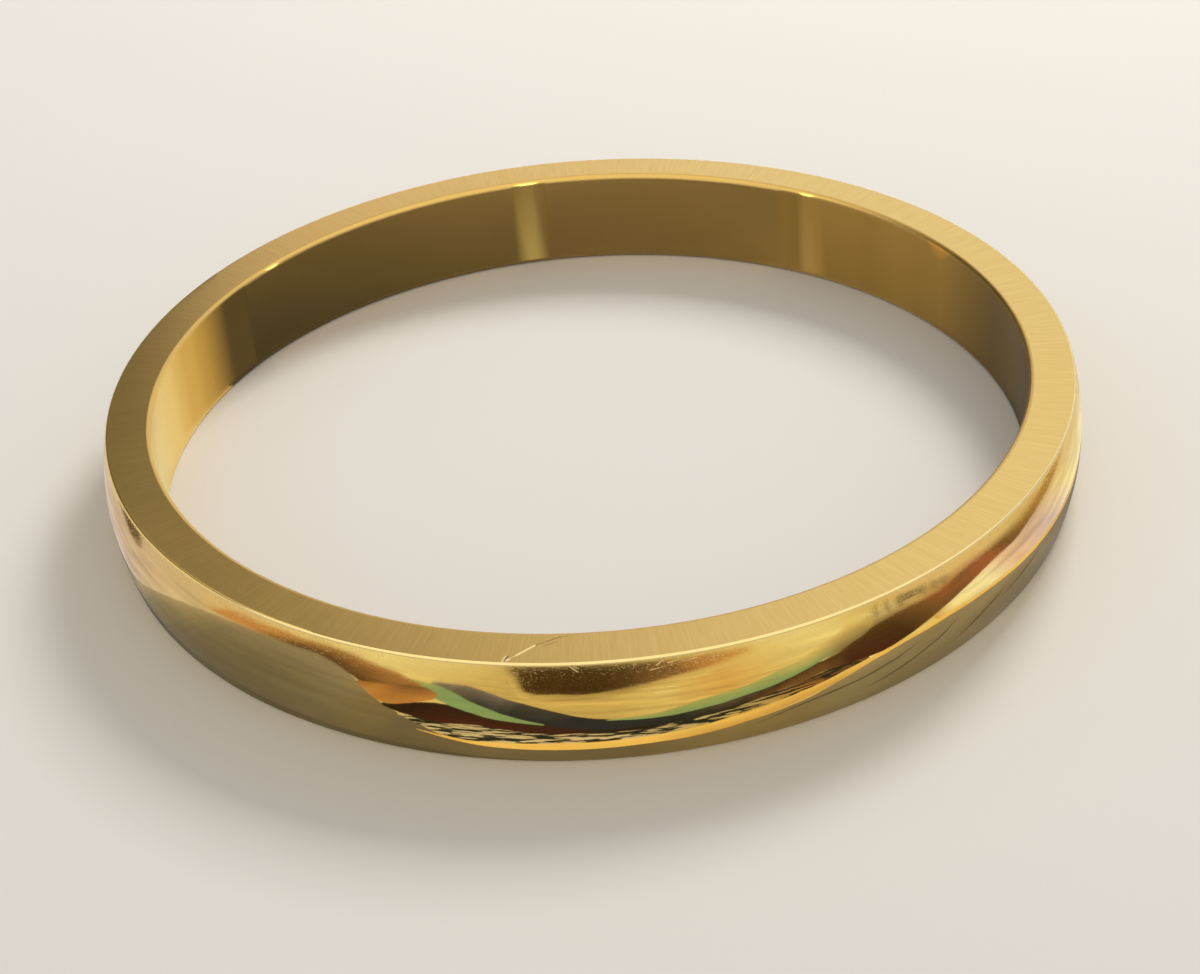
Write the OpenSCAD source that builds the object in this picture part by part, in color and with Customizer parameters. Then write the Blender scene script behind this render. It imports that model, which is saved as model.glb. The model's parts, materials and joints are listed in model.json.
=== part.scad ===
// Kada bangle: one closed ring of solid metal with a D-shaped section.
// Its bore is a plain cylinder, its two side faces are flat and its outer face is a shallow dome.
// Z = 0 is the side face that the bangle lies on, and the bore's axis is the Z axis.

/* [Wrist] */
// Diameter of the bore, the size that a bangle is sold by
bore_d = 66; // [50:0.5:80]

/* [Band] */
// Width of the band, measured along the bore
band_w = 8; // [4:0.5:20]
// Thickness of the wall at a side face
edge_t = 3.4; // [1.6:0.1:6]
// Height of the dome above the wall's thickness at a side face
dome_rise = 0.6; // [0.2:0.1:1.6]

/* [Edges] */
// Radius of the rounding where the bore meets a side face
inner_edge_r = 0.4; // [0.1:0.05:0.8]
// Width that the burnished break on the outer edge takes off a side face
outer_break = 0.12; // [0.04:0.02:0.4]

/* [Hidden] */

// Facets of the preview's circles
ring_facets = 360;
dome_facets = 1440;
edge_facets = 96;

bore_r = bore_d / 2;
edge_r = bore_r + edge_t;

// The dome is an arc through both outer edges of the section, with its crown at mid-width
dome_r = (pow(band_w / 2, 2) + pow(dome_rise, 2)) / (2 * dome_rise);
dome_centre = edge_r + dome_rise - dome_r;

// How far the dome leans inwards where it meets a side face, and the slope of the break there
dome_lean = asin(band_w / 2 / dome_r);
break_slope = (90 - dome_lean) / 2;

// Side of the square that cuts the break
break_cut = 4 * outer_break;

gold = [0.83, 0.66, 0.32];

// What is cut off the corner between the bore and the upper side face
module inner_corner() {
    difference() {
        translate([bore_r - inner_edge_r, band_w - inner_edge_r]) square(2 * inner_edge_r);
        translate([bore_r + inner_edge_r, band_w - inner_edge_r])
            circle(r = inner_edge_r, $fn = edge_facets);
    }
}

// What is cut off the corner between the dome and the upper side face
module outer_corner() {
    translate([edge_r - outer_break, band_w])
        rotate(-break_slope)
            translate([-break_cut / 2, 0]) square(break_cut);
}

// The wall with its dome, before its edges are finished, with X as the radius and Y as the height
module domed_wall() {
    translate([bore_r, 0]) square([edge_t, band_w]);
    intersection() {
        translate([bore_r, 0]) square([edge_t + dome_rise, band_w]);
        translate([dome_centre, band_w / 2]) circle(r = dome_r, $fn = dome_facets);
    }
}

// Half section of the ring
module band_section() {
    difference() {
        domed_wall();
        inner_corner();
        outer_corner();
        translate([0, band_w]) mirror([0, 1]) {
            inner_corner();
            outer_corner();
        }
    }
}

module kada_band() {
    color(gold) rotate_extrude($fn = ring_facets) band_section();
}

kada_band();
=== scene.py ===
"""A gold-coloured kada bangle lying on a pale floor.

The band is one piece: its section is cut from a disc, its corners are rounded, and it is spun
round the bore's axis. Each surface has the finish it is given in the workshop: side faces brushed
crosswise, a bore lapped round its axis, a mirror-polished dome and burnished edges.
"""

import json
import math

import bmesh
import bpy
from mathutils import Matrix, Vector


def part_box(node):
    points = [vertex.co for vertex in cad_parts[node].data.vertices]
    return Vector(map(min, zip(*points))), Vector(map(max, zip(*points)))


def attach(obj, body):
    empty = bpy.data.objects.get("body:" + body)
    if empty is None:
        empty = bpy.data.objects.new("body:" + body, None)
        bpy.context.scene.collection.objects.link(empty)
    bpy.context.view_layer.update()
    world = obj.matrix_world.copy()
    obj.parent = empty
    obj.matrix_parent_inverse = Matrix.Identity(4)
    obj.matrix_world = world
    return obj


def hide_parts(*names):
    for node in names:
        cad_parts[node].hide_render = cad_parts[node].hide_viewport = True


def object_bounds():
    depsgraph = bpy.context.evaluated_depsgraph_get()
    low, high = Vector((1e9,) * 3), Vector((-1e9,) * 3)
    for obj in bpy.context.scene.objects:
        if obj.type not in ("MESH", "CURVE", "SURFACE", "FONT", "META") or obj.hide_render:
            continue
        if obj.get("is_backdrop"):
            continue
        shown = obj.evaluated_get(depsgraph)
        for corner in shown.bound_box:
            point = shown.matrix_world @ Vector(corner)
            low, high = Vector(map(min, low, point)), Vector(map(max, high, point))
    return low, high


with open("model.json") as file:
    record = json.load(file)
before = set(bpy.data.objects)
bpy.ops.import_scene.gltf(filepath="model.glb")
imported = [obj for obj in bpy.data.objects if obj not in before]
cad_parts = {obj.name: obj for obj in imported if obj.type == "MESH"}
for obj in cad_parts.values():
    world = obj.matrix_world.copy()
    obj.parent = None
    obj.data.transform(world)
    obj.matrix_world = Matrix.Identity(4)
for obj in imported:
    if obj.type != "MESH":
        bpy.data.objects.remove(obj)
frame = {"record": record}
cad_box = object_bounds()

MM = 0.001

# The band's sizes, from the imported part
MOUNTS = {m["name"]: m for m in frame["record"]["mounts"]}
BAND_LOW, BAND_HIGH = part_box("kada_band")
BAND_W = BAND_HIGH.z - BAND_LOW.z
BORE_R = MOUNTS["wrist_bore"]["dims"]["r_mm"] * MM
BORE_LENGTH = MOUNTS["wrist_bore"]["dims"]["length_mm"] * MM
CROWN_R = BAND_HIGH.x

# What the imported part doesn't say
DOME_RISE = 0.6 * MM
OUTER_BREAK = 0.12 * MM

INNER_EDGE_R = (BAND_W - BORE_LENGTH) / 2
EDGE_R = CROWN_R - DOME_RISE
MID_R = (BORE_R + CROWN_R) / 2
DOME_R = ((BAND_W / 2) ** 2 + DOME_RISE**2) / (2 * DOME_RISE)
DOME_CENTRE = CROWN_R - DOME_R

# Fineness of the band's mesh
DISC_POINTS = 288
INNER_EDGE_STEPS = 8
OUTER_EDGE_STEPS = 4
SPIN_STEPS = 480
CUT_TOLERANCE = 0.0001 * MM
CORNER_TOLERANCE = 0.01 * MM
MERGE_DISTANCE = 0.002 * MM
UV_MARGIN = 0.006

# How far a face turns up or down, as the height of its unit normal, if it belongs to a side face, a
# rounding or a break, and how far beyond the side face's edge a break can reach
SIDE_TURN = 0.999
ROUNDING_TURN = 0.05
BREAK_TURN = 0.3
BREAK_REACH = 0.04 * MM

# The camera, as the photograph was taken, seen from the middle of the band
CAMERA_DISTANCE = 177.7 * MM
CAMERA_ELEVATION = math.radians(31.57)
CAMERA_TILT = math.radians(1.86)
CAMERA_TURN = math.radians(0.08)
CAMERA_ROLL = math.radians(4.54)
LENS = 69.3

GOLD = (0.88, 0.67, 0.28, 1)
FACE_SHADE = (0.74, 0.52, 0.19, 1)
DEEP_GOLD = (0.42, 0.27, 0.09, 1)
# PALE_GOLD paints highlights on bright scratches, on the dome's streaks and on the break,
# and also pales the dome's worn marks
PALE_GOLD = (1.0, 0.88, 0.58, 1)
# Painted shade: the bore and its rounding get a darker, deeper gold than the outside,
# for the shade and the warm reflected light inside the band
BORE_SHADED_GOLD = (0.72, 0.48, 0.15, 1)
FLOOR_COLOUR = (0.74, 0.72, 0.68)
WARM_WHITE = (1, 0.97, 0.93)
PANEL_SHADE = (0.03, 0.02, 0.012)

# Distance of the upright panels behind the band
PANEL_DISTANCE = 0.45

# The cards, in degrees and millimetres. Rows are filled in at each step, lying cards are stacked in
# layers over the floor, and wall cards stand close to the bore's wall
CARD_STEP = 2
CARD_LAYER = 0.005
WALL_CARD_REACH = BORE_R / MM - 0.5
WALL_CARD_FOOT = 0.05
WALL_CARD_TOP = 8

# Width of a thin line along its middle and at its ends, and of one side of a small shade
LINE_WIDTH = 0.18
LINE_END = 0.02
SHADE_SIDE = 2.2
SHADE_END = 1.2

# Light that the cards give off
TONES = {
    "soot": (0.03, 0.035, 0.04),
    "pitch": (0.035, 0.022, 0.015),
    "slate": (0.13, 0.12, 0.105),
    "smoke": (0.08, 0.08, 0.085),
    "ink": (0.035, 0.04, 0.06),
    "haze": (0.20, 0.19, 0.26),
    "clay": (0.19, 0.165, 0.14),
    "coffee": (0.07, 0.04, 0.02),
    "dun": (0.27, 0.23, 0.16),
    "ash": (0.33, 0.30, 0.27),
    "khaki": (0.38, 0.32, 0.22),
    "taupe": (0.44, 0.40, 0.32),
    "maroon": (0.075, 0.027, 0.022),
    "bark": (0.10, 0.06, 0.03),
    "umber": (0.20, 0.115, 0.06),
    "russet": (0.37, 0.14, 0.08),
    "rust": (0.48, 0.25, 0.11),
    "orange": (0.60, 0.31, 0.12),
    "bronze": (0.43, 0.25, 0.06),
    "amber": (0.70, 0.46, 0.19),
    "gold": (0.95, 0.70, 0.28),
    "honey": (0.64, 0.52, 0.26),
    "straw": (0.80, 0.68, 0.36),
    "wheat": (0.80, 0.66, 0.46),
    "cream": (0.93, 0.90, 0.62),
    "ivory": (0.97, 0.90, 0.56),
    "milk": (1.0, 1.05, 1.0),
    "spark": (3.0, 3.4, 2.0),
    "sage": (0.52, 0.53, 0.40),
    "linen": (0.61, 0.56, 0.47),
    "sand": (0.66, 0.60, 0.54),
    "blush": (0.66, 0.54, 0.54),
    "rose": (0.78, 0.60, 0.64),
    "lilac": (0.72, 0.65, 0.88),
    "green": (0.26, 0.44, 0.29),
    "moss": (0.45, 0.53, 0.28),
}


def start_object(name):
    """Names the new primitive, applies its place and opens it for editing."""
    obj = bpy.context.object
    obj.name = name
    obj.data.name = name
    bpy.ops.object.transform_apply(location=True, rotation=True, scale=True)
    bpy.ops.object.mode_set(mode="EDIT")
    return obj


def cut_away(point, normal, **side):
    """Cuts the open mesh at a plane and drops one side of it."""
    bpy.ops.mesh.select_all(action="SELECT")
    bpy.ops.mesh.bisect(plane_co=point, plane_no=normal, threshold=CUT_TOLERANCE, **side)


def round_corners(obj, radius, width, steps):
    """Rounds the section's two corners that stand at this radius."""
    mesh = bmesh.from_edit_mesh(obj.data)
    for vert in mesh.verts:
        at_radius = abs(vert.co.x - radius) < CORNER_TOLERANCE
        at_face = min(abs(vert.co.z), abs(vert.co.z - BAND_W)) < CORNER_TOLERANCE
        vert.select = at_radius and at_face
    mesh.select_flush_mode()
    bmesh.update_edit_mesh(obj.data)
    bpy.ops.mesh.bevel(offset=width, segments=steps, profile=0.5, affect="VERTICES")


def section_outline(obj):
    """The section's points in order round it, each with its distance from the first."""
    mesh = bmesh.from_edit_mesh(obj.data)
    face = mesh.faces[:][0]
    points = [v.co.copy() for v in face.verts]
    start = min(range(len(points)), key=lambda i: (points[i].x, points[i].z))
    points = points[start:] + points[:start]
    outline = []
    run = 0.0
    for here, after in zip(points, points[1:] + points[:1]):
        outline.append((here.x, here.z, run))
        run += (after - here).length
    return outline, run


def make_band():
    """Spins the finished section round the bore's axis into one closed mesh."""
    bpy.ops.object.select_all(action="DESELECT")
    bpy.ops.mesh.primitive_circle_add(
        vertices=DISC_POINTS, radius=DOME_R, fill_type="NGON",
        location=(DOME_CENTRE, 0, BAND_W / 2), rotation=(math.radians(90), 0, 0),
    )
    band = start_object("polished_band")
    cut_away((0, 0, 0), (0, 0, 1), clear_inner=True)
    cut_away((0, 0, BAND_W), (0, 0, 1), clear_outer=True)
    cut_away((BORE_R, 0, 0), (1, 0, 0), clear_inner=True)
    round_corners(band, BORE_R, INNER_EDGE_R, INNER_EDGE_STEPS)
    round_corners(band, EDGE_R, OUTER_BREAK, OUTER_EDGE_STEPS)
    outline, girth = section_outline(band)
    bpy.ops.mesh.select_all(action="SELECT")
    bpy.ops.mesh.delete(type="ONLY_FACE")
    bpy.ops.mesh.select_all(action="SELECT")
    bpy.ops.mesh.spin(
        steps=SPIN_STEPS, angle=math.tau, center=(0, 0, 0), axis=(0, 0, 1),
    )
    bpy.ops.mesh.select_all(action="SELECT")
    bpy.ops.mesh.remove_doubles(threshold=MERGE_DISTANCE)
    bpy.ops.mesh.normals_make_consistent(inside=False)
    bpy.ops.object.mode_set(mode="OBJECT")
    bpy.ops.object.shade_smooth()
    flatten = band.modifiers.new("true_faces", "WEIGHTED_NORMAL")
    flatten.weight = 80
    bpy.ops.object.modifier_apply(modifier=flatten.name)
    return band, outline, girth


def unwrap(band, outline, girth):
    """Lays the band out flat in three strips, a third of the way round each."""
    layer = band.data.uv_layers.new(name="OFBake")
    vertices = band.data.vertices
    third = math.tau / 3
    inner = 1 - 2 * UV_MARGIN
    for face in band.data.polygons:
        middle = math.atan2(face.center.y, face.center.x) % math.tau
        strip = int(middle / third)
        spots = []
        for index in face.loop_indices:
            spot = vertices[band.data.loops[index].vertex_index].co
            turn = math.atan2(spot.y, spot.x) - middle
            turn = (turn + math.pi) % math.tau - math.pi
            spots.append((index, middle + turn - strip * third, nearest_run(spot, outline)))
        wraps = max(run for _, _, run in spots) > girth / 2
        for index, turn, run in spots:
            if wraps and run == 0:
                run = girth
            u = UV_MARGIN + inner * turn / third
            v = (strip + UV_MARGIN + inner * run / girth) / 3
            layer.data[index].uv = (u, v)


def nearest_run(spot, outline):
    """How far round the section a spot lies, from the outline's point nearest to it."""
    radius = math.hypot(spot.x, spot.y)
    return min(outline, key=lambda p: (p[0] - radius) ** 2 + (p[1] - spot.z) ** 2)[2]


def add_part_finishes(band):
    """Gives every face the finish of the surface that it belongs to."""
    finishes = (polished_dome, brushed_face, lapped_bore, eased_edge, burnished_edge)
    for finish in finishes:
        band.data.materials.append(finish())
    for face in band.data.polygons:
        radius = math.hypot(face.center.x, face.center.y)
        turn = abs(face.normal.z)
        finish = polished_dome
        if turn > SIDE_TURN:
            finish = brushed_face
        elif radius < BORE_R + INNER_EDGE_R:
            finish = eased_edge if turn > ROUNDING_TURN else lapped_bore
        elif radius < EDGE_R + BREAK_REACH and turn > BREAK_TURN:
            finish = burnished_edge
        face.material_index = finishes.index(finish)


class Surface:
    """A material whose marks are laid out on the object's own coordinates.

    Lengths here are millimetres on the object. The direction runs round the bore's axis, the radius
    and the height are measured from that axis and from the lower side face.
    """

    def __init__(self, name):
        self.material = bpy.data.materials.new(name)
        self.material.use_nodes = True
        self.nodes = self.material.node_tree.nodes
        self.links = self.material.node_tree.links
        coordinates = self.nodes.new("ShaderNodeTexCoord")
        self.place = self.vector("SCALE", coordinates.outputs["Object"], Scale=1 / MM)
        flat = self.vector("MULTIPLY", self.place, (1, 1, 0))
        self.direction = self.vector("NORMALIZE", flat)
        self.radius = self.vector("LENGTH", flat)
        self.height = self.add("SeparateXYZ", self.place, output="Z")

    def add(self, kind, *inputs, output=0, named=None, **settings):
        """Adds a node, fills its inputs in order or by name, and returns one of its outputs."""
        node = self.nodes.new("ShaderNode" + kind)
        for name, value in settings.items():
            setattr(node, name, value)
        for key, value in list(enumerate(inputs)) + list((named or {}).items()):
            if isinstance(value, bpy.types.NodeSocket):
                self.links.new(value, node.inputs[key])
            else:
                node.inputs[key].default_value = value
        return node.outputs[output]

    def vector(self, operation, *inputs, **named):
        """Works with vectors. What measures them gives a number, and the rest a vector."""
        output = "Value" if operation in ("LENGTH", "DOT_PRODUCT", "DISTANCE") else "Vector"
        return self.add("VectorMath", *inputs, output=output, named=named, operation=operation)

    def math(self, operation, *inputs, clamp=False):
        """Works with numbers, and holds the result between 0 and 1 if it is clamped."""
        return self.add("Math", *inputs, operation=operation, use_clamp=clamp)

    def level(self, value, low, high, from_low=0.0, from_high=1.0):
        """Carries a value from one range to another, and holds it there."""
        return self.add("MapRange", value, from_low, from_high, low, high)

    def grain(self, around, across, size, along=None, detail=2.0):
        """Noise stretched by two factors, one round the bore's axis and one across it."""
        ring = self.vector("SCALE", self.direction, Scale=MID_R / MM * around)
        rise = self.math("MULTIPLY", self.radius if along is None else along, across)
        lift = self.add("CombineXYZ", 0.0, 0.0, rise)
        spot = self.vector("ADD", ring, lift)
        return self.add("TexNoise", named={"Vector": spot, "Scale": 1 / size, "Detail": detail})

    def pits(self, spacing, size, share):
        """Small round marks scattered over the surface, in this share of cells a spacing wide."""
        cells = self.nodes.new("ShaderNodeTexVoronoi")
        cells.inputs["Scale"].default_value = 1 / spacing
        self.links.new(self.place, cells.inputs["Vector"])
        chosen = self.add("SeparateColor", cells.outputs["Color"])
        kept = self.math("LESS_THAN", chosen, share)
        rim = size / spacing / 2
        dot = self.level(cells.outputs["Distance"], 1.0, 0.0, rim / 2, rim)
        return self.math("MULTIPLY", dot, kept)

    def scratch(self, start, end, width):
        """A straight mark between two points, 1 along its middle and 0 at its edges."""
        run = Vector(end) - Vector(start)
        offset = self.vector("SUBTRACT", self.place, start)
        along = self.vector("DOT_PRODUCT", offset, run / run.length_squared)
        held = self.math("MULTIPLY", along, 1.0, clamp=True)
        nearest = self.vector("SCALE", tuple(run), Scale=held)
        gap = self.vector("DISTANCE", offset, nearest)
        return self.level(gap, 1.0, 0.0, 0.0, width / 2)

    def most(self, *marks):
        """The strongest of several marks."""
        top = marks[0]
        for mark in marks[1:]:
            top = self.math("MAXIMUM", top, mark)
        return top

    def blend(self, amount, first, second):
        """Mixes two colours, by an amount from 0, all the first, to 1, all the second."""
        node = self.nodes.new("ShaderNodeMix")
        node.data_type = "RGBA"
        for index, value in ((0, amount), (6, first), (7, second)):
            if isinstance(value, bpy.types.NodeSocket):
                self.links.new(value, node.inputs[index])
            else:
                node.inputs[index].default_value = value
        return node.outputs[2]


class Finish(Surface):
    """One of the band's metal finishes."""

    def __init__(self, name, anisotropy=0, turn=0):
        super().__init__(name)
        self.shader = self.nodes["Principled BSDF"]
        self.shader.inputs["Metallic"].default_value = 1
        self.shader.inputs["Anisotropic"].default_value = anisotropy
        self.shader.inputs["Anisotropic Rotation"].default_value = turn
        if anisotropy:
            around = self.add("Tangent", direction_type="RADIAL", axis="Z")
            self.links.new(around, self.shader.inputs["Tangent"])

    def finish(self, colour, roughness, relief, depth):
        """Feeds the shader. The depth is how deep the relief's marks are, in millimetres."""
        self.links.new(colour, self.shader.inputs["Base Color"])
        self.links.new(roughness, self.shader.inputs["Roughness"])
        bump = self.add("Bump", named={"Height": relief, "Distance": depth * MM, "Strength": 1.0},
                        output="Normal")
        self.links.new(bump, self.shader.inputs["Normal"])
        return self.material


def on_upper_face(x, y):
    """A point of the upper side face."""
    return (x, y, BAND_W / MM)


def on_dome(angle, height):
    """A point of the dome, at an angle to the right of the band's front."""
    reach = DOME_CENTRE / MM + math.sqrt((DOME_R / MM) ** 2 - (height - BAND_W / MM / 2) ** 2)
    turn = math.radians(angle)
    return (reach * math.sin(turn), -reach * math.cos(turn), height)


def brushed_face():
    """Side faces brushed straight across the wall, with the scratches on the upper one, some
    painted as highlights.
    """
    face = Finish("brushed_face", anisotropy=0.6)
    lines = face.grain(1.0, 0.05, 0.12, detail=1.0)
    streaks = face.grain(1.0, 0.05, 0.35)
    worn = face.grain(0.35, 0.35, 2.5)
    specks = face.pits(1.3, 0.16, 0.06)
    nick = face.most(
        face.scratch(on_upper_face(-6.75, -35.5), on_upper_face(-6.55, -35.1), 0.3),
        face.scratch(on_upper_face(-6.6, -35.5), on_upper_face(-6.3, -35.35), 0.16),
    )
    scratch = face.most(
        face.scratch(on_upper_face(-5.9, -35.05), on_upper_face(-4.7, -34.15), 0.2),
        face.scratch(on_upper_face(-6.4, -35.4), on_upper_face(-5.9, -35.05), 0.08),
    )
    rubs = face.most(
        face.scratch(on_upper_face(-4.7, -34.1), on_upper_face(-4.1, -33.9), 0.16),
        face.scratch(on_upper_face(-4.0, -33.85), on_upper_face(-3.1, -33.5), 0.2),
        face.scratch(on_upper_face(-4.2, -34.3), on_upper_face(-3.3, -33.95), 0.12),
        face.scratch(on_upper_face(-3.6, -33.6), on_upper_face(-2.6, -33.45), 0.1),
    )
    bright = face.most(nick, scratch)
    dark = face.most(face.math("MULTIPLY", rubs, 0.8), specks)
    tone = face.blend(face.level(lines, 0.45, 0.0, 0.3, 0.7), GOLD, FACE_SHADE)
    tone = face.blend(face.level(streaks, 0.0, 0.25, 0.35, 0.75), tone, FACE_SHADE)
    tone = face.blend(dark, tone, DEEP_GOLD)
    # Painted highlight: the nick and the bright scratch are painted pale gold over their real
    # grooves
    tone = face.blend(bright, tone, PALE_GOLD)
    rough = face.level(lines, 0.285, 0.295, 0.3, 0.7)
    rough = face.math("ADD", rough, face.level(worn, -0.01, 0.015))
    rough = face.math("SUBTRACT", rough, face.math("MULTIPLY", bright, 0.12))
    relief = face.math("SUBTRACT", lines, face.math("MULTIPLY", bright, 90.0))
    return face.finish(tone, rough, relief, 0.00018)


def lapped_bore():
    """The bore, lapped round its axis to an even satin finish, in a darker gold that is painted
    shade.
    """
    bore = Finish("lapped_bore", anisotropy=0.9, turn=0.25)
    lines = bore.grain(0.02, 1.0, 0.14, along=bore.height)
    clouds = bore.grain(0.1, 0.1, 1.6, along=bore.height)
    # Painted shade: the bore's gold is darker and deeper than the outside's
    tone = bore.blend(bore.level(lines, 0.25, 0.0, 0.3, 0.7), BORE_SHADED_GOLD, FACE_SHADE)
    rough = bore.level(lines, 0.17, 0.2, 0.3, 0.7)
    rough = bore.math("ADD", rough, bore.level(clouds, -0.02, 0.02))
    return bore.finish(tone, rough, lines, 0.0004)


def eased_edge():
    """The rounding between the bore and the side faces, softly satin, in darker gold that is
    painted shade.
    """
    edge = Finish("eased_edge")
    lines = edge.grain(0.05, 1.0, 0.12)
    # Painted shade: the rounding's gold is darker and deeper than the outside's
    tone = edge.blend(edge.level(lines, 0.3, 0.0, 0.3, 0.7), FACE_SHADE, BORE_SHADED_GOLD)
    return edge.finish(tone, edge.level(lines, 0.30, 0.36, 0.3, 0.7), lines, 0.0004)


def polished_dome():
    """The mirror-polished outer face, with hairlines and scuffs near its upper edge, and painted
    highlights.
    """
    dome = Finish("polished_dome")
    hairlines = dome.grain(0.8, 5.0, 0.4, along=dome.height, detail=3.0)
    flecks = dome.add("TexNoise", named={"Vector": dome.place, "Scale": 7.0, "Detail": 2.0})
    smudges = dome.grain(0.2, 0.4, 1.4, along=dome.height)
    swell = dome.grain(0.25, 0.5, 1.0, along=dome.height, detail=1.0)
    ripples = dome.grain(1.0, 2.2, 1.1, along=dome.height)
    specks = dome.pits(1.7, 0.16, 0.1)
    edge_wear = dome.level(dome.height, 0.0, 1.0, 5.4, 7.4)
    fine = dome.math("MULTIPLY", dome.level(hairlines, 0.0, 1.0, 0.52, 0.68), edge_wear)
    fleck = dome.math("MULTIPLY", dome.level(flecks, 0.0, 1.0, 0.56, 0.68), edge_wear)
    scuffs = dome.most(
        dome.scratch(on_dome(-4.1, 7.85), on_dome(-3.4, 7.5), 0.15),
        dome.scratch(on_dome(-3.7, 7.8), on_dome(-3.2, 7.65), 0.08),
        dome.scratch(on_dome(4.5, 7.45), on_dome(5.3, 7.8), 0.12),
        dome.scratch(on_dome(3.8, 7.15), on_dome(8.6, 7.55), 0.07),
        dome.scratch(on_dome(5.6, 7.5), on_dome(9.4, 7.75), 0.06),
    )
    # Painted highlight: three bright streaks painted pale gold, with no groove or roughness under
    # them
    painted_sheen = dome.most(
        dome.scratch(on_dome(2.4, 6.3), on_dome(3.0, 6.22), 0.13),
        dome.scratch(on_dome(4.1, 5.55), on_dome(6.6, 5.5), 0.12),
        dome.scratch(on_dome(5.4, 5.85), on_dome(6.5, 5.75), 0.1),
    )
    faint = dome.most(dome.math("MULTIPLY", fine, 0.35), dome.math("MULTIPLY", fleck, 0.5))
    wear = dome.most(faint, scuffs, specks)
    tone = dome.blend(dome.math("MULTIPLY", wear, 0.4), GOLD, PALE_GOLD)
    tone = dome.blend(painted_sheen, tone, PALE_GOLD)
    rough = dome.level(smudges, 0.04, 0.075, 0.3, 0.7)
    rough = dome.math("ADD", rough, dome.level(wear, 0.0, 0.35))
    rough = dome.math("ADD", rough, dome.math("MULTIPLY", edge_wear, 0.05))
    relief = dome.math("ADD", swell, dome.math("MULTIPLY", ripples, 0.05))
    relief = dome.math("SUBTRACT", relief, dome.math("MULTIPLY", scuffs, 0.3))
    return dome.finish(tone, rough, relief, 0.02)


def burnished_edge():
    """The thin bright break between the side faces and the dome, its paler gold a painted
    highlight.
    """
    edge = Finish("burnished_edge")
    dents = edge.grain(0.5, 1.0, 0.9)
    # Painted highlight: the break's gold is painted 30 to 60 per cent of the way to pale gold
    tone = edge.blend(edge.level(dents, 0.3, 0.6), GOLD, PALE_GOLD)
    return edge.finish(tone, edge.level(dents, 0.12, 0.2, 0.3, 0.7), dents, 0.0015)


def make_floor():
    """The plain pale floor that the band lies on."""
    bpy.ops.object.select_all(action="DESELECT")
    bpy.ops.mesh.primitive_plane_add(size=3)
    floor = bpy.context.object
    floor.name = "floor"
    floor.data.materials.append(matt_paint("floor_paint", FLOOR_COLOUR))
    floor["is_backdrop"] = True


def matt_paint(name, colour):
    """A flat paint with hardly any shine."""
    paint = bpy.data.materials.new(name)
    paint.use_nodes = True
    matt = paint.node_tree.nodes["Principled BSDF"]
    matt.inputs["Base Color"].default_value = colour + (1,)
    matt.inputs["Roughness"].default_value = 0.9
    matt.inputs["Specular IOR Level"].default_value = 0.1
    return paint


def glowing_paint(name, colour):
    """A paint that shines evenly with one colour."""
    paint = bpy.data.materials.new(name)
    paint.use_nodes = True
    nodes = paint.node_tree.nodes
    glow = nodes.new("ShaderNodeEmission")
    glow.inputs["Color"].default_value = colour + (1,)
    paint.node_tree.links.new(glow.outputs[0], nodes["Material Output"].inputs["Surface"])
    return paint


def card_paint(name, streaks, marks=None):
    """A paint that shines with the tones of a card's corners.

    The streaks are how strongly its grain shows. The marks, if any, are its dark flecks' colour.
    """
    card = Surface(name)
    tones = card.add("VertexColor", output="Color", layer_name="tone")
    grain = card.grain(0.12, 0.6, 0.8, detail=3.0)
    if marks:
        flecks = card.grain(0.14, 1.0, 0.27, detail=3.0)
        tones = card.blend(card.level(flecks, 1.0, 0.0, 0.48, 0.54), tones, marks + (1,))
    light = card.level(grain, 1 - streaks, 1 + streaks, 0.3, 0.7)
    glow = card.add("Emission", tones, light)
    card.links.new(glow, card.nodes["Material Output"].inputs["Surface"])
    return card.material


def show_in_reflections_only(thing):
    """Hides a thing from the camera and from matt surfaces, and stops its shadows."""
    thing.visible_camera = False
    thing.visible_diffuse = False
    thing.visible_shadow = False
    thing.visible_transmission = False


def curve_between(values, angles, index, share):
    """A smooth curve through the values, read between one angle and the next."""
    slopes = []
    for here in (index, index + 1):
        before = max(here - 1, 0)
        after = min(here + 1, len(values) - 1)
        slopes.append((values[after] - values[before]) / (angles[after] - angles[before]))
    width = angles[index + 1] - angles[index]
    left = share * (1 - share) ** 2 * slopes[0] * width
    right = share**2 * (share - 1) * slopes[1] * width
    rise = share**2 * (3 - 2 * share)
    return values[index] * (1 - rise) + values[index + 1] * rise + left + right


def filled_rows(rows):
    """Adds rows between a card's rows, so that its edges run in smooth curves."""
    angles = [row[0] for row in rows]
    edges = [[row[side] for row in rows] for side in (1, 2)]
    tones = [[Vector(TONES[row[side]]) for row in rows] for side in (3, -1)]
    for i in range(len(rows) - 1):
        steps = math.ceil((angles[i + 1] - angles[i]) / CARD_STEP)
        for share in (k / steps for k in range(steps + 1)):
            angle = angles[i] + share * (angles[i + 1] - angles[i])
            row_edges = [curve_between(edge, angles, i, share) for edge in edges]
            row_tones = [tone[i].lerp(tone[i + 1], share) for tone in tones]
            yield math.radians(angle), row_edges, row_tones


def lying_card(name, paint, layer, rows):
    """A curved card that lies on a layer over the floor, and that only the gold mirrors.

    Each row is an angle to the right of the band's front, the card's near and far edges there, in
    millimetres from the bore's axis, and the tones at those edges, or one tone for both.
    """
    add_card(name, paint, rows, lambda edge: (edge, layer * CARD_LAYER))


def standing_card(name, paint, reach, rows):
    """A curved card that stands at a reach from the bore's axis. Its rows give its foot and top."""
    add_card(name, paint, rows, lambda edge: (reach, edge))


def wall_card(name, paint, rows):
    """A card that stands close to the bore's wall. Its rows are an angle and one or two tones."""
    standing_card(name, paint, WALL_CARD_REACH, [
        (angle, WALL_CARD_FOOT, WALL_CARD_TOP, *tones) for angle, *tones in rows
    ])


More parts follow.
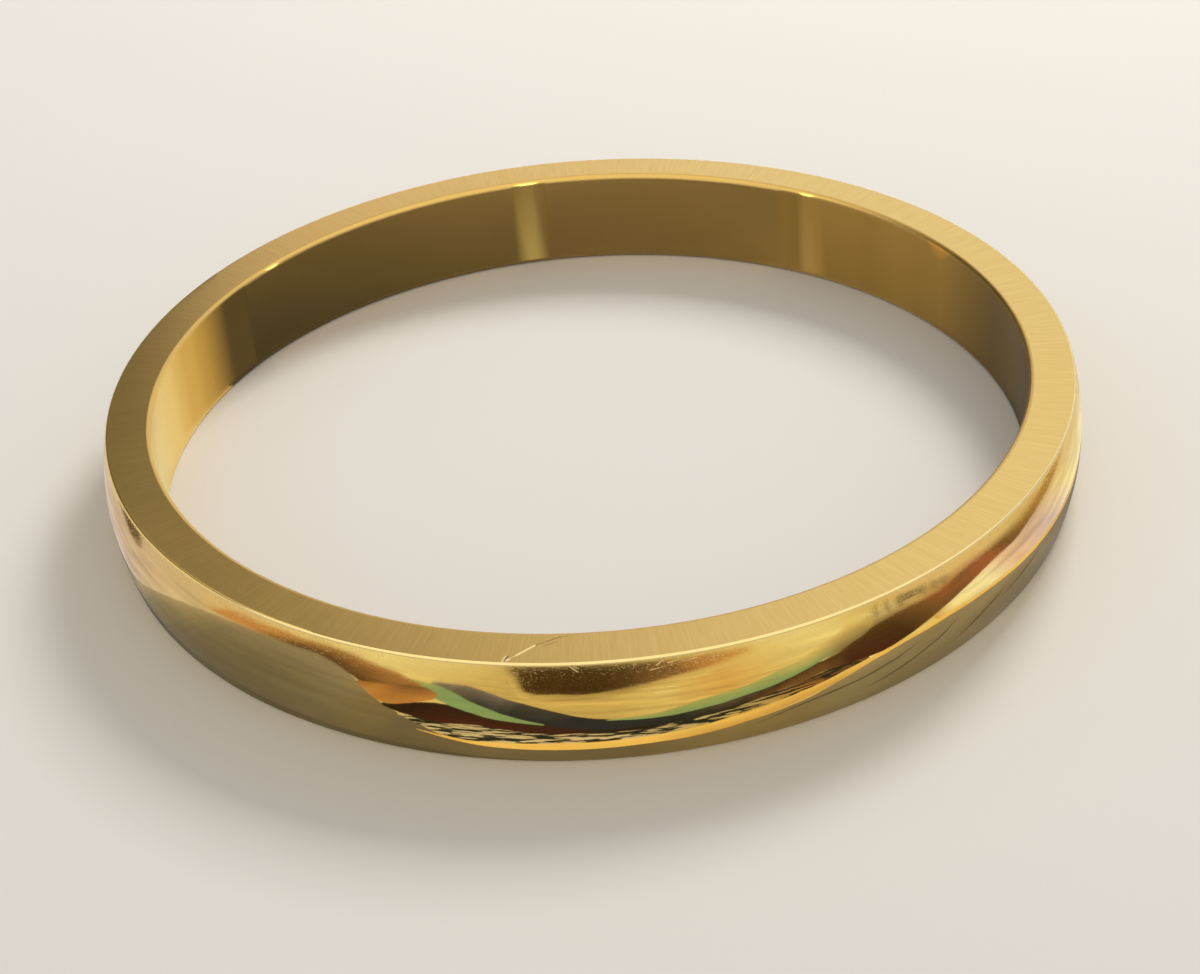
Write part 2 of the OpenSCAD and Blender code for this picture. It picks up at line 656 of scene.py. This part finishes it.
def add_card(name, paint, rows, placed):
    """Makes a card's mesh. The last argument turns an edge into a reach and a height."""
    corners = []
    tones = []
    for angle, edges, row_tones in filled_rows(rows):
        for edge, tone in zip(edges, row_tones):
            reach, height = placed(edge)
            corners.append(Vector((reach * math.sin(angle), -reach * math.cos(angle), height)) * MM)
            tones.extend((*tone, 1))
    faces = [(i, i + 1, i + 3, i + 2) for i in range(0, len(corners) - 2, 2)]
    mesh = bpy.data.meshes.new(name)
    mesh.from_pydata(corners, [], faces)
    shades = mesh.color_attributes.new("tone", "FLOAT_COLOR", "POINT")
    shades.data.foreach_set("color", tones)
    mesh.materials.append(paint)
    card = bpy.data.objects.new(name, mesh)
    bpy.context.scene.collection.objects.link(card)
    show_in_reflections_only(card)
    card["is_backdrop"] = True


def make_ground_cards(even, streaky):
    """The pale ground that the dome mirrors, with the shade and the light beside its foot."""
    lying_card("pale_card", streaky, 4, (
        (-180, 34, 110, "straw", "cream"), (-140, 34, 90, "wheat", "cream"),
        (-110, 34, 60, "sand", "wheat"), (-75, 34, 60, "blush", "sand"),
        (-63, 34, 80, "sand", "wheat"), (-50, 34, 100, "wheat", "cream"), (-38, 34, 130, "cream"),
        (-26, 34, 150, "straw", "cream"), (-14, 34, 160, "honey"), (-4, 34, 160, "honey", "straw"),
        (6, 34, 160, "straw"), (14, 34, 160, "amber", "straw"), (22, 34, 160, "straw", "cream"),
        (32, 34, 150, "cream"), (42, 34, 120, "straw"), (54, 34, 100, "wheat"),
        (68, 34, 80, "wheat", "straw"), (110, 34, 70, "wheat"), (140, 34, 90, "straw", "cream"),
        (180, 34, 110, "straw", "cream"),
    ))
    lying_card("low_card", even, 6, (
        (-180, 34, 39.5, "slate", "dun"), (-140, 34, 43, "slate", "ash"),
        (-110, 34, 38.5, "slate", "clay"), (-76, 34, 37.5, "slate", "clay"),
        (-69, 34, 38.5, "slate", "taupe"), (-65, 34, 42, "slate", "taupe"),
        (-60, 34, 47, "slate", "taupe"), (-54, 34, 52.5, "slate", "ash"),
        (-47, 34, 55, "slate", "ash"), (-40, 34, 53, "slate", "ash"),
        (-34, 34, 47.5, "slate", "ash"), (-29, 34, 42.6, "slate", "dun"),
        (-24, 34, 40, "slate", "clay"), (-18, 34, 38, "slate", "clay"),
        (-9, 34, 37.4, "slate", "clay"), (2, 34, 37.5, "slate", "clay"),
        (12, 34, 37.8, "slate", "dun"), (20, 34, 38.4, "slate", "dun"),
        (27, 34, 39.6, "slate", "ash"), (33, 34, 40.7, "slate", "ash"),
        (42, 34, 41, "slate", "ash"), (51, 34, 40.1, "slate", "ash"),
        (61, 34, 38.9, "slate", "ash"), (75, 34, 38, "slate", "dun"),
        (110, 34, 38, "slate", "clay"), (140, 34, 41, "slate", "ash"),
        (180, 34, 39.5, "slate", "dun"),
    ))
    lying_card("foot_shade", even, 7, (
        (-180, 33, 37, "pitch", "slate"), (-110, 33, 36.5, "pitch", "slate"),
        (-60, 33, 36.8, "pitch", "slate"), (-30, 33, 36.8, "pitch", "slate"),
        (0, 33, 36.4, "pitch", "slate"), (40, 33, 36.2, "pitch", "slate"),
        (80, 33, 36.2, "pitch", "slate"), (130, 33, 36.5, "pitch", "slate"),
        (180, 33, 37, "pitch", "slate"),
    ))
    lying_card("bright_card", streaky, 8, (
        (42, 41.2, 44, "amber"), (46, 40.7, 47, "cream", "milk"), (52, 40, 48, "milk"),
        (58, 39.2, 48, "rose"), (67, 38.4, 48, "lilac", "rose"), (76, 38, 49, "cream", "wheat"),
        (90, 37.8, 49, "cream", "wheat"), (105, 38.2, 47, "wheat"),
    ))
    lying_card("bright_line", even, 10, (
        (-22, 38.4, 38.5, "amber"), (-15, 37.5, 37.9, "gold"), (-6, 37.3, 38, "gold"),
        (3, 37.4, 38.1, "gold"), (10, 37.6, 38.5, "amber", "gold"),
        (17, 38.2, 39.2, "amber", "gold"), (26, 39.4, 40.4, "amber", "gold"),
        (32, 40.5, 41.2, "gold"), (42, 40.8, 41.5, "gold"), (52, 39.9, 40.5, "gold"),
        (62, 38.8, 39.4, "gold"), (72, 38.2, 38.6, "amber"), (90, 37.8, 38.1, "amber"),
    ))


def make_dark_sweep(even, streaky, flecked):
    """The dark sweep that runs all round the dome, with its flecks and its soft upper side."""
    lying_card("flecked_strip", flecked, 12, (
        (-25, 40.2, 40.7, "sand", "honey"), (-20, 38.5, 40.2, "sand"), (-16, 37.9, 40.2, "sand"),
        (-12, 37.9, 39.8, "sand"), (-4, 38, 39.4, "sand"), (3, 38.2, 39.7, "sand"),
        (10, 38.6, 40.1, "honey", "sand"), (16, 39.3, 41, "honey", "ash"),
        (22, 39.8, 41.8, "rust", "umber"), (27, 40.6, 42.1, "umber"), (31, 41.2, 41.7, "umber"),
    ))
    lying_card("soft_sweep", streaky, 13, (
        (27, 43, 46, "bark", "straw"), (31, 45, 53, "bark", "straw"), (35, 47, 62, "bark", "straw"),
        (40, 48, 66, "umber", "cream"), (45, 48, 64, "rust", "cream"),
        (50, 48, 60, "russet", "straw"), (56, 50, 60, "russet", "wheat"),
        (62, 49, 57, "umber", "wheat"), (68, 48, 54, "umber", "straw"),
        (76, 49, 55, "bronze", "wheat"),
    ))
    lying_card("dark_band", even, 14, (
        (-27.5, 41.3, 42, "pitch"), (-24.5, 40.4, 43.2, "pitch"),
        (-20, 39.9, 44.2, "maroon", "pitch"), (-15.5, 40.1, 42.6, "maroon", "pitch"),
        (-11, 39.5, 42, "maroon", "pitch"), (-6, 39.1, 42.5, "maroon", "ink"),
        (-2, 39.2, 41.2, "pitch", "ink"), (3, 39.1, 40.8, "pitch", "ink"), (7.5, 39.6, 41, "soot"),
        (14, 40.2, 42, "pitch", "slate"), (20, 41.3, 43, "umber", "pitch"),
        (25, 42.1, 44.8, "umber", "bark"), (29, 41.8, 45.5, "maroon", "bark"),
        (33, 41.2, 48.5, "maroon", "bark"), (38, 41.9, 51.5, "coffee", "bark"),
        (44, 43.3, 51.5, "umber"), (48, 44, 50.5, "umber", "russet"),
        (53, 45.2, 52.5, "russet", "umber"), (58, 45.8, 53, "russet"), (62, 45.2, 51, "umber"),
        (67, 46, 49.5, "umber", "bronze"), (73, 46.8, 50.5, "bronze"), (79, 47.8, 52, "bronze"),
        (86, 48.8, 50.5, "amber", "wheat"),
    ))
    lying_card("back_band", even, 14, (
        (112, 43, 46, "wheat"), (122, 43.2, 48, "bronze"), (136, 42.2, 47.5, "umber", "bark"),
        (155, 40.4, 44, "maroon", "ink"), (180, 39.6, 42, "pitch", "ink"),
        (205, 40.2, 43.5, "maroon", "ink"), (222, 43.4, 50, "umber", "bark"),
        (236, 45, 54, "russet", "rust"), (248, 44.5, 50, "orange"), (256, 43.5, 45, "wheat"),
    ))
    lying_card("back_line", even, 12, (
        (140, 40.8, 41.1, "amber"), (160, 39.3, 40, "gold"), (180, 38.9, 39.6, "gold"),
        (200, 39.6, 40.2, "gold"), (216, 41.8, 42, "amber"),
    ))


def make_coloured_strips(even, streaky):
    """The grey, green and orange strips beside the dark sweep."""
    lying_card("left_grey_band", even, 16, (
        (-24.5, 52.5, 55, "haze"), (-20, 48, 54, "slate", "haze"), (-17, 45, 51.2, "ink", "haze"),
        (-14, 43, 48.2, "ink", "haze"), (-11, 41.8, 46.2, "ink", "smoke"),
        (-8, 40.8, 44.2, "ink", "smoke"), (-4, 39.8, 42.2, "ink"), (0, 39.5, 41.2, "ink"),
        (6, 39.6, 41, "soot", "ink"),
    ))
    lying_card("left_green_strip", even, 18, (
        (-28, 52, 54.5, "moss"), (-24.5, 47.8, 53.4, "green", "moss"), (-21.5, 45.1, 50.5, "green"),
        (-18.5, 43.4, 46.8, "green"), (-15, 41.8, 44, "green"), (-11.5, 41, 41.9, "green"),
        (-8, 40.6, 40.8, "green"),
    ))
    lying_card("right_green_strip", even, 18, (
        (-1, 41, 41.2, "green", "moss"), (5, 40.7, 41.7, "green", "moss"),
        (10, 41.2, 43.2, "green", "moss"), (15, 41.9, 44.5, "green", "moss"),
        (20, 42.8, 46.2, "green", "moss"), (25, 44.6, 49, "green", "straw"),
        (30, 46.8, 54, "dun", "straw"), (35, 49.5, 59, "dun", "straw"),
        (38, 54, 61, "honey", "straw"),
    ))
    lying_card("orange_streak", streaky, 20, (
        (-62.5, 50.5, 53, "wheat"), (-59.5, 49.5, 59.5, "orange"), (-54, 52.5, 64, "orange"),
        (-48, 54.5, 68, "bark", "orange"), (-42, 54, 71.5, "bark", "rust"),
        (-37, 50.2, 64, "bark", "rust"), (-33, 46.8, 59.5, "bark", "rust"),
        (-30, 46.5, 56.7, "umber", "rust"), (-27, 48.5, 53, "umber", "rust"),
        (-25.5, 50, 51.5, "rust"),
    ))
    lying_card("orange_lobe", even, 22, (
        (-33, 46, 47, "rust", "umber"), (-30, 43.2, 47.8, "orange", "rust"),
        (-27, 41.7, 49.5, "orange", "umber"), (-24.5, 42.9, 50, "orange", "umber"),
        (-22, 44.9, 47.2, "orange", "rust"),
    ))


def make_dark_patches(even, streaky):
    """The dark patch at the front of the dome, with its soft lower edge, and a spot at the left."""
    lying_card("dark_patch", streaky, 20, (
        (-17, 99, 112, "umber", "bark"), (-14.3, 70, 122, "coffee"), (-11.7, 53, 125, "coffee"),
        (-7, 51, 125, "coffee"), (-2, 50.6, 122, "coffee"), (2, 52.5, 116, "bark", "coffee"),
        (5.5, 55, 108, "umber", "bark"), (9, 58, 102, "umber"), (13, 62, 97, "rust"),
        (17, 68, 93, "orange", "rust"), (22, 78, 90, "amber", "orange"),
    ))
    lying_card("patch_edge", streaky, 18, (
        (-18, 94, 105, "straw", "umber"), (-14.5, 62, 80, "straw", "bark"),
        (-12, 49.5, 60, "straw", "bark"), (-7, 47.5, 56, "honey", "bark"),
        (-2, 47.5, 56, "honey", "bark"), (2, 49, 58, "honey", "umber"),
        (6, 51, 62, "straw", "umber"), (11, 53, 68, "straw", "rust"),
        (17, 58, 78, "straw", "orange"), (22, 68, 86, "straw", "amber"),
    ))
    lying_card("left_shadow", even, 12, (
        (-90, 47.5, 50, "umber"), (-86, 46.6, 52.5, "bark"), (-81.5, 45.4, 50, "bark"),
        (-78, 45.3, 46.5, "sand", "umber"),
    ))


def make_thin_lines(even):
    """Fine dark lines low on the right of the dome, each through angles and reaches."""
    lines = (
        ((15, 37.45), (21, 38.05), (28, 38.35), (34, 38.9), (37.5, 39.6)),
        ((28, 37.25), (33, 37.6), (37, 38.05), (41, 38.7), (44, 39.6)),
        ((40, 37.1), (45, 37.6), (49, 38), (52, 38.5)),
        ((50, 37.7), (56, 37.9), (61, 38.3)),
    )
    for i, places in enumerate(lines):
        widths = [LINE_END] + [LINE_WIDTH] * (len(places) - 2) + [LINE_END]
        lying_card(f"thin_line_{i}", even, 8, [
            (angle, reach, reach + width, "slate")
            for (angle, reach), width in zip(places, widths)
        ])


def make_small_shades(even):
    """Short strokes above the sweep at the right, each from one angle and reach to another."""
    strokes = (
        (39.4, 57, 44.2, 77, "dun"), (41.2, 56, 45.6, 74, "dun"), (43, 55, 47, 69, "dun"),
        (46.8, 54, 50.6, 64, "khaki"), (48.4, 53, 52.2, 62, "khaki"), (50, 52.5, 53.6, 60, "khaki"),
    )
    for i, (first, near, last, far, tone) in enumerate(strokes):
        middle = (near + far) / 2
        lying_card(f"small_shade_{i}", even, 24, (
            (first, near - SHADE_END, near + SHADE_END, tone, "khaki"),
            ((first + last) / 2, middle - SHADE_SIDE, middle + SHADE_SIDE, tone, "khaki"),
            (last, far - SHADE_END, far + SHADE_END, "khaki"),
        ))
    lying_card("block_shade", even, 26, (
        (43.8, 58, 60, "clay", "dun"), (45.6, 57, 65, "clay", "dun"), (47.4, 57, 67, "clay", "dun"),
        (49, 60, 62, "dun"),
    ))


def make_bore_floor_cards(even):
    """What the lapped bore mirrors on the floor inside the band."""
    lying_card("bore_card", even, 10, (
        (70, 30, 33.5, "slate", "smoke"), (92, 25, 33.5, "clay", "smoke"),
        (108, 18, 33.5, "dun", "slate"), (125, 12, 33.5, "ash", "dun"),
        (145, 10, 33.5, "ash", "dun"), (162, 10, 33.5, "dun", "clay"), (180, 10, 33.5, "clay"),
        (200, 10, 33.5, "clay", "slate"), (225, 10, 33.5, "slate", "smoke"),
        (243, 12, 33.5, "slate", "smoke"),
    ))
    lying_card("amber_card", even, 8, (
        (240, 14, 33.5, "honey"), (247, 24, 33.5, "wheat"), (256, 26, 33.5, "ivory"),
        (276, 28, 33.5, "ivory"),
    ))


def make_edge_cards(even):
    """Low cards on both sides of the burnished edge, which keep it bright at the left."""
    standing_card("left_edge_card", even, 36.9, (
        (-125, 7.9, 8.5, "dun"), (-95, 7.9, 8.5, "khaki"), (-72, 7.9, 8.7, "honey"),
        (-50, 7.9, 9.1, "straw"), (-42, 8.2, 9.2, "straw"),
    ))
    standing_card("left_rim_card", even, 36.24, (
        (-68, 8, 8.05, "khaki"), (-58, 8, 8.25, "khaki"), (-48, 8, 8.3, "honey"),
        (-38, 8, 8.3, "straw"), (-32, 8, 8.05, "cream"),
    ))


def make_wall_cards(even):
    """The upright borders and streaks that the bore shows, on cards close to its wall."""
    wall_card("left_wall_card", even, (
        (236, "slate"), (241, "slate"), (242.5, "dun"), (246.5, "honey"), (250.5, "straw"),
        (253, "straw"), (259, "ivory"), (290, "ivory"), (315, "linen"),
    ))
    wall_card("back_streak", even, (
        (184.2, "clay", "dun"), (186.2, "sage", "ash"), (187.4, "sage", "ash"),
        (189.3, "clay", "dun"),
    ))
    wall_card("right_wall_card", even, (
        (35, "linen"), (60, "khaki"), (80, "slate"), (104, "slate", "clay"), (112, "clay", "dun"),
        (118, "dun", "khaki"), (140, "dun", "khaki"), (141.5, "khaki"), (142.8, "taupe", "khaki"),
        (143.8, "taupe", "khaki"), (145.2, "dun"), (148, "dun"),
    ))
    standing_card("right_amber_spot", even, 32.65, (
        (115.5, 7.4, 8, "khaki", "amber"), (117.3, 6.4, 8, "khaki", "amber"),
        (118.8, 6.4, 8, "khaki", "amber"), (120.5, 7.4, 8, "khaki", "amber"),
    ))


def make_glints(even):
    """Sparks on the far rounding of the bore, each at an angle and with half a width."""
    for i, (angle, half_width) in enumerate(((187, 1.8), (230, 1.1), (143.5, 1.2))):
        standing_card(f"glint_{i}", even, 32.6, (
            (angle - half_width, 8.1, 8.3, "spark"), (angle - half_width / 2, 7.8, 8.5, "spark"),
            (angle + half_width / 2, 7.8, 8.5, "spark"), (angle + half_width, 8.1, 8.3, "spark"),
        ))


def make_cards():
    """Stages all that the gold mirrors close round the band."""
    even = card_paint("even_card", 0.10)
    streaky = card_paint("streaky_card", 0.22)
    flecked = card_paint("flecked_card", 0.15, marks=(0.03, 0.035, 0.03))
    make_ground_cards(even, streaky)
    make_dark_sweep(even, streaky, flecked)
    make_coloured_strips(even, streaky)
    make_dark_patches(even, streaky)
    make_thin_lines(even)
    make_small_shades(even)
    make_bore_floor_cards(even)
    make_edge_cards(even)
    make_wall_cards(even)
    make_glints(even)


def soft_light(name, azimuth, elevation, distance, size, power, colour):
    """An area light that faces the band. Azimuth 0 is behind the band, and 90 is to its right."""
    a = math.radians(azimuth)
    e = math.radians(elevation)
    towards = Vector((math.sin(a) * math.cos(e), math.cos(a) * math.cos(e), math.sin(e)))
    data = bpy.data.lights.new(name, "AREA")
    data.shape = "SQUARE"
    data.size = size
    data.energy = power
    data.color = colour
    light = bpy.data.objects.new(name, data)
    light.location = towards * distance
    light.rotation_euler = towards.to_track_quat("Z", "Y").to_euler()
    bpy.context.scene.collection.objects.link(light)
    return light


def make_camera():
    """The camera, in front of the band and above it, with the photograph's small turns."""
    camera = bpy.data.objects.new("camera", bpy.data.cameras.new("camera"))
    camera.data.lens = LENS
    camera.data.clip_start = 5 * MM
    towards = Vector((0, -math.cos(CAMERA_ELEVATION), math.sin(CAMERA_ELEVATION)))
    turn = (
        Matrix.Rotation(math.pi / 2 - CAMERA_ELEVATION, 4, "X")
        @ Matrix.Rotation(-CAMERA_TURN, 4, "Y")
        @ Matrix.Rotation(-CAMERA_TILT, 4, "X")
        @ Matrix.Rotation(-CAMERA_ROLL, 4, "Z")
    )
    place = Vector((0, 0, BAND_W / 2)) + towards * CAMERA_DISTANCE
    camera.matrix_world = Matrix.Translation(place) @ turn
    bpy.context.scene.collection.objects.link(camera)
    bpy.context.scene.camera = camera


def back_panel(name, colour, left, right, low=8, high=65):
    """An upright panel behind the band, between two azimuths, that only reflections show."""
    reach = PANEL_DISTANCE
    middle = math.radians((left + right) / 2)
    width = 2 * reach * math.tan(math.radians((right - left) / 2))
    base, top = (reach * math.tan(math.radians(e)) for e in (low, high))
    bpy.ops.object.select_all(action="DESELECT")
    bpy.ops.mesh.primitive_plane_add(
        size=1, location=(reach * math.sin(middle), reach * math.cos(middle), (base + top) / 2),
        rotation=(math.pi / 2, 0, -middle),
    )
    panel = bpy.context.object
    panel.name = name
    panel.scale = (width, top - base, 1)
    panel.data.materials.append(glowing_paint(name + "_paint", colour))
    show_in_reflections_only(panel)
    panel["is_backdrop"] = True


def overhead_panel(name, colour):
    """A wide panel over the band, leaning a little to its front, that only reflections show."""
    bpy.ops.object.select_all(action="DESELECT")
    bpy.ops.mesh.primitive_plane_add(size=1.6, location=(0, -0.15, 0.45), rotation=(0.3, 0, 0))
    panel = bpy.context.object
    panel.name = name
    panel.data.materials.append(glowing_paint(name + "_paint", colour))
    show_in_reflections_only(panel)
    panel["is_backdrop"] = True


def make_lights():
    """One soft light for the floor, a pale room, and the panels that the gold mirrors."""
    key = soft_light("key", azimuth=28, elevation=38, distance=0.6, size=0.2, power=2.6,
                     colour=WARM_WHITE)
    key.visible_glossy = False
    back_panel("low_shaded_panel", PANEL_SHADE, -75, -13, high=29)
    back_panel("high_shaded_panel", PANEL_SHADE, -75, -8.5, low=29, high=53)
    back_panel("low_bright_panel", (1.2, 1.0, 0.78), -13, -5, high=29)
    back_panel("low_warm_panel", (0.85, 0.72, 0.58), -5, 1, high=29)
    back_panel("high_warm_panel", (0.66, 0.53, 0.38), -8.5, 1, low=29)
    back_panel("window_panel", (0.90, 0.86, 0.74), 1, 60)
    overhead_panel("sky_panel", (1.15, 1.05, 0.75))
    world = bpy.data.worlds.new("studio")
    world.use_nodes = True
    room = world.node_tree.nodes["Background"]
    room.inputs["Color"].default_value = WARM_WHITE + (1,)
    room.inputs["Strength"].default_value = 0.62
    bpy.context.scene.world = world
    bpy.context.scene.view_settings.view_transform = "Standard"


make_camera()
make_lights()
make_floor()
make_cards()
band, outline, girth = make_band()
unwrap(band, outline, girth)
add_part_finishes(band)
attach(band, "root")
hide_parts("kada_band")

boxes = {"cad": cad_box, "visual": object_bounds()}
{name: [list(c) for c in corners] for name, corners in boxes.items()}
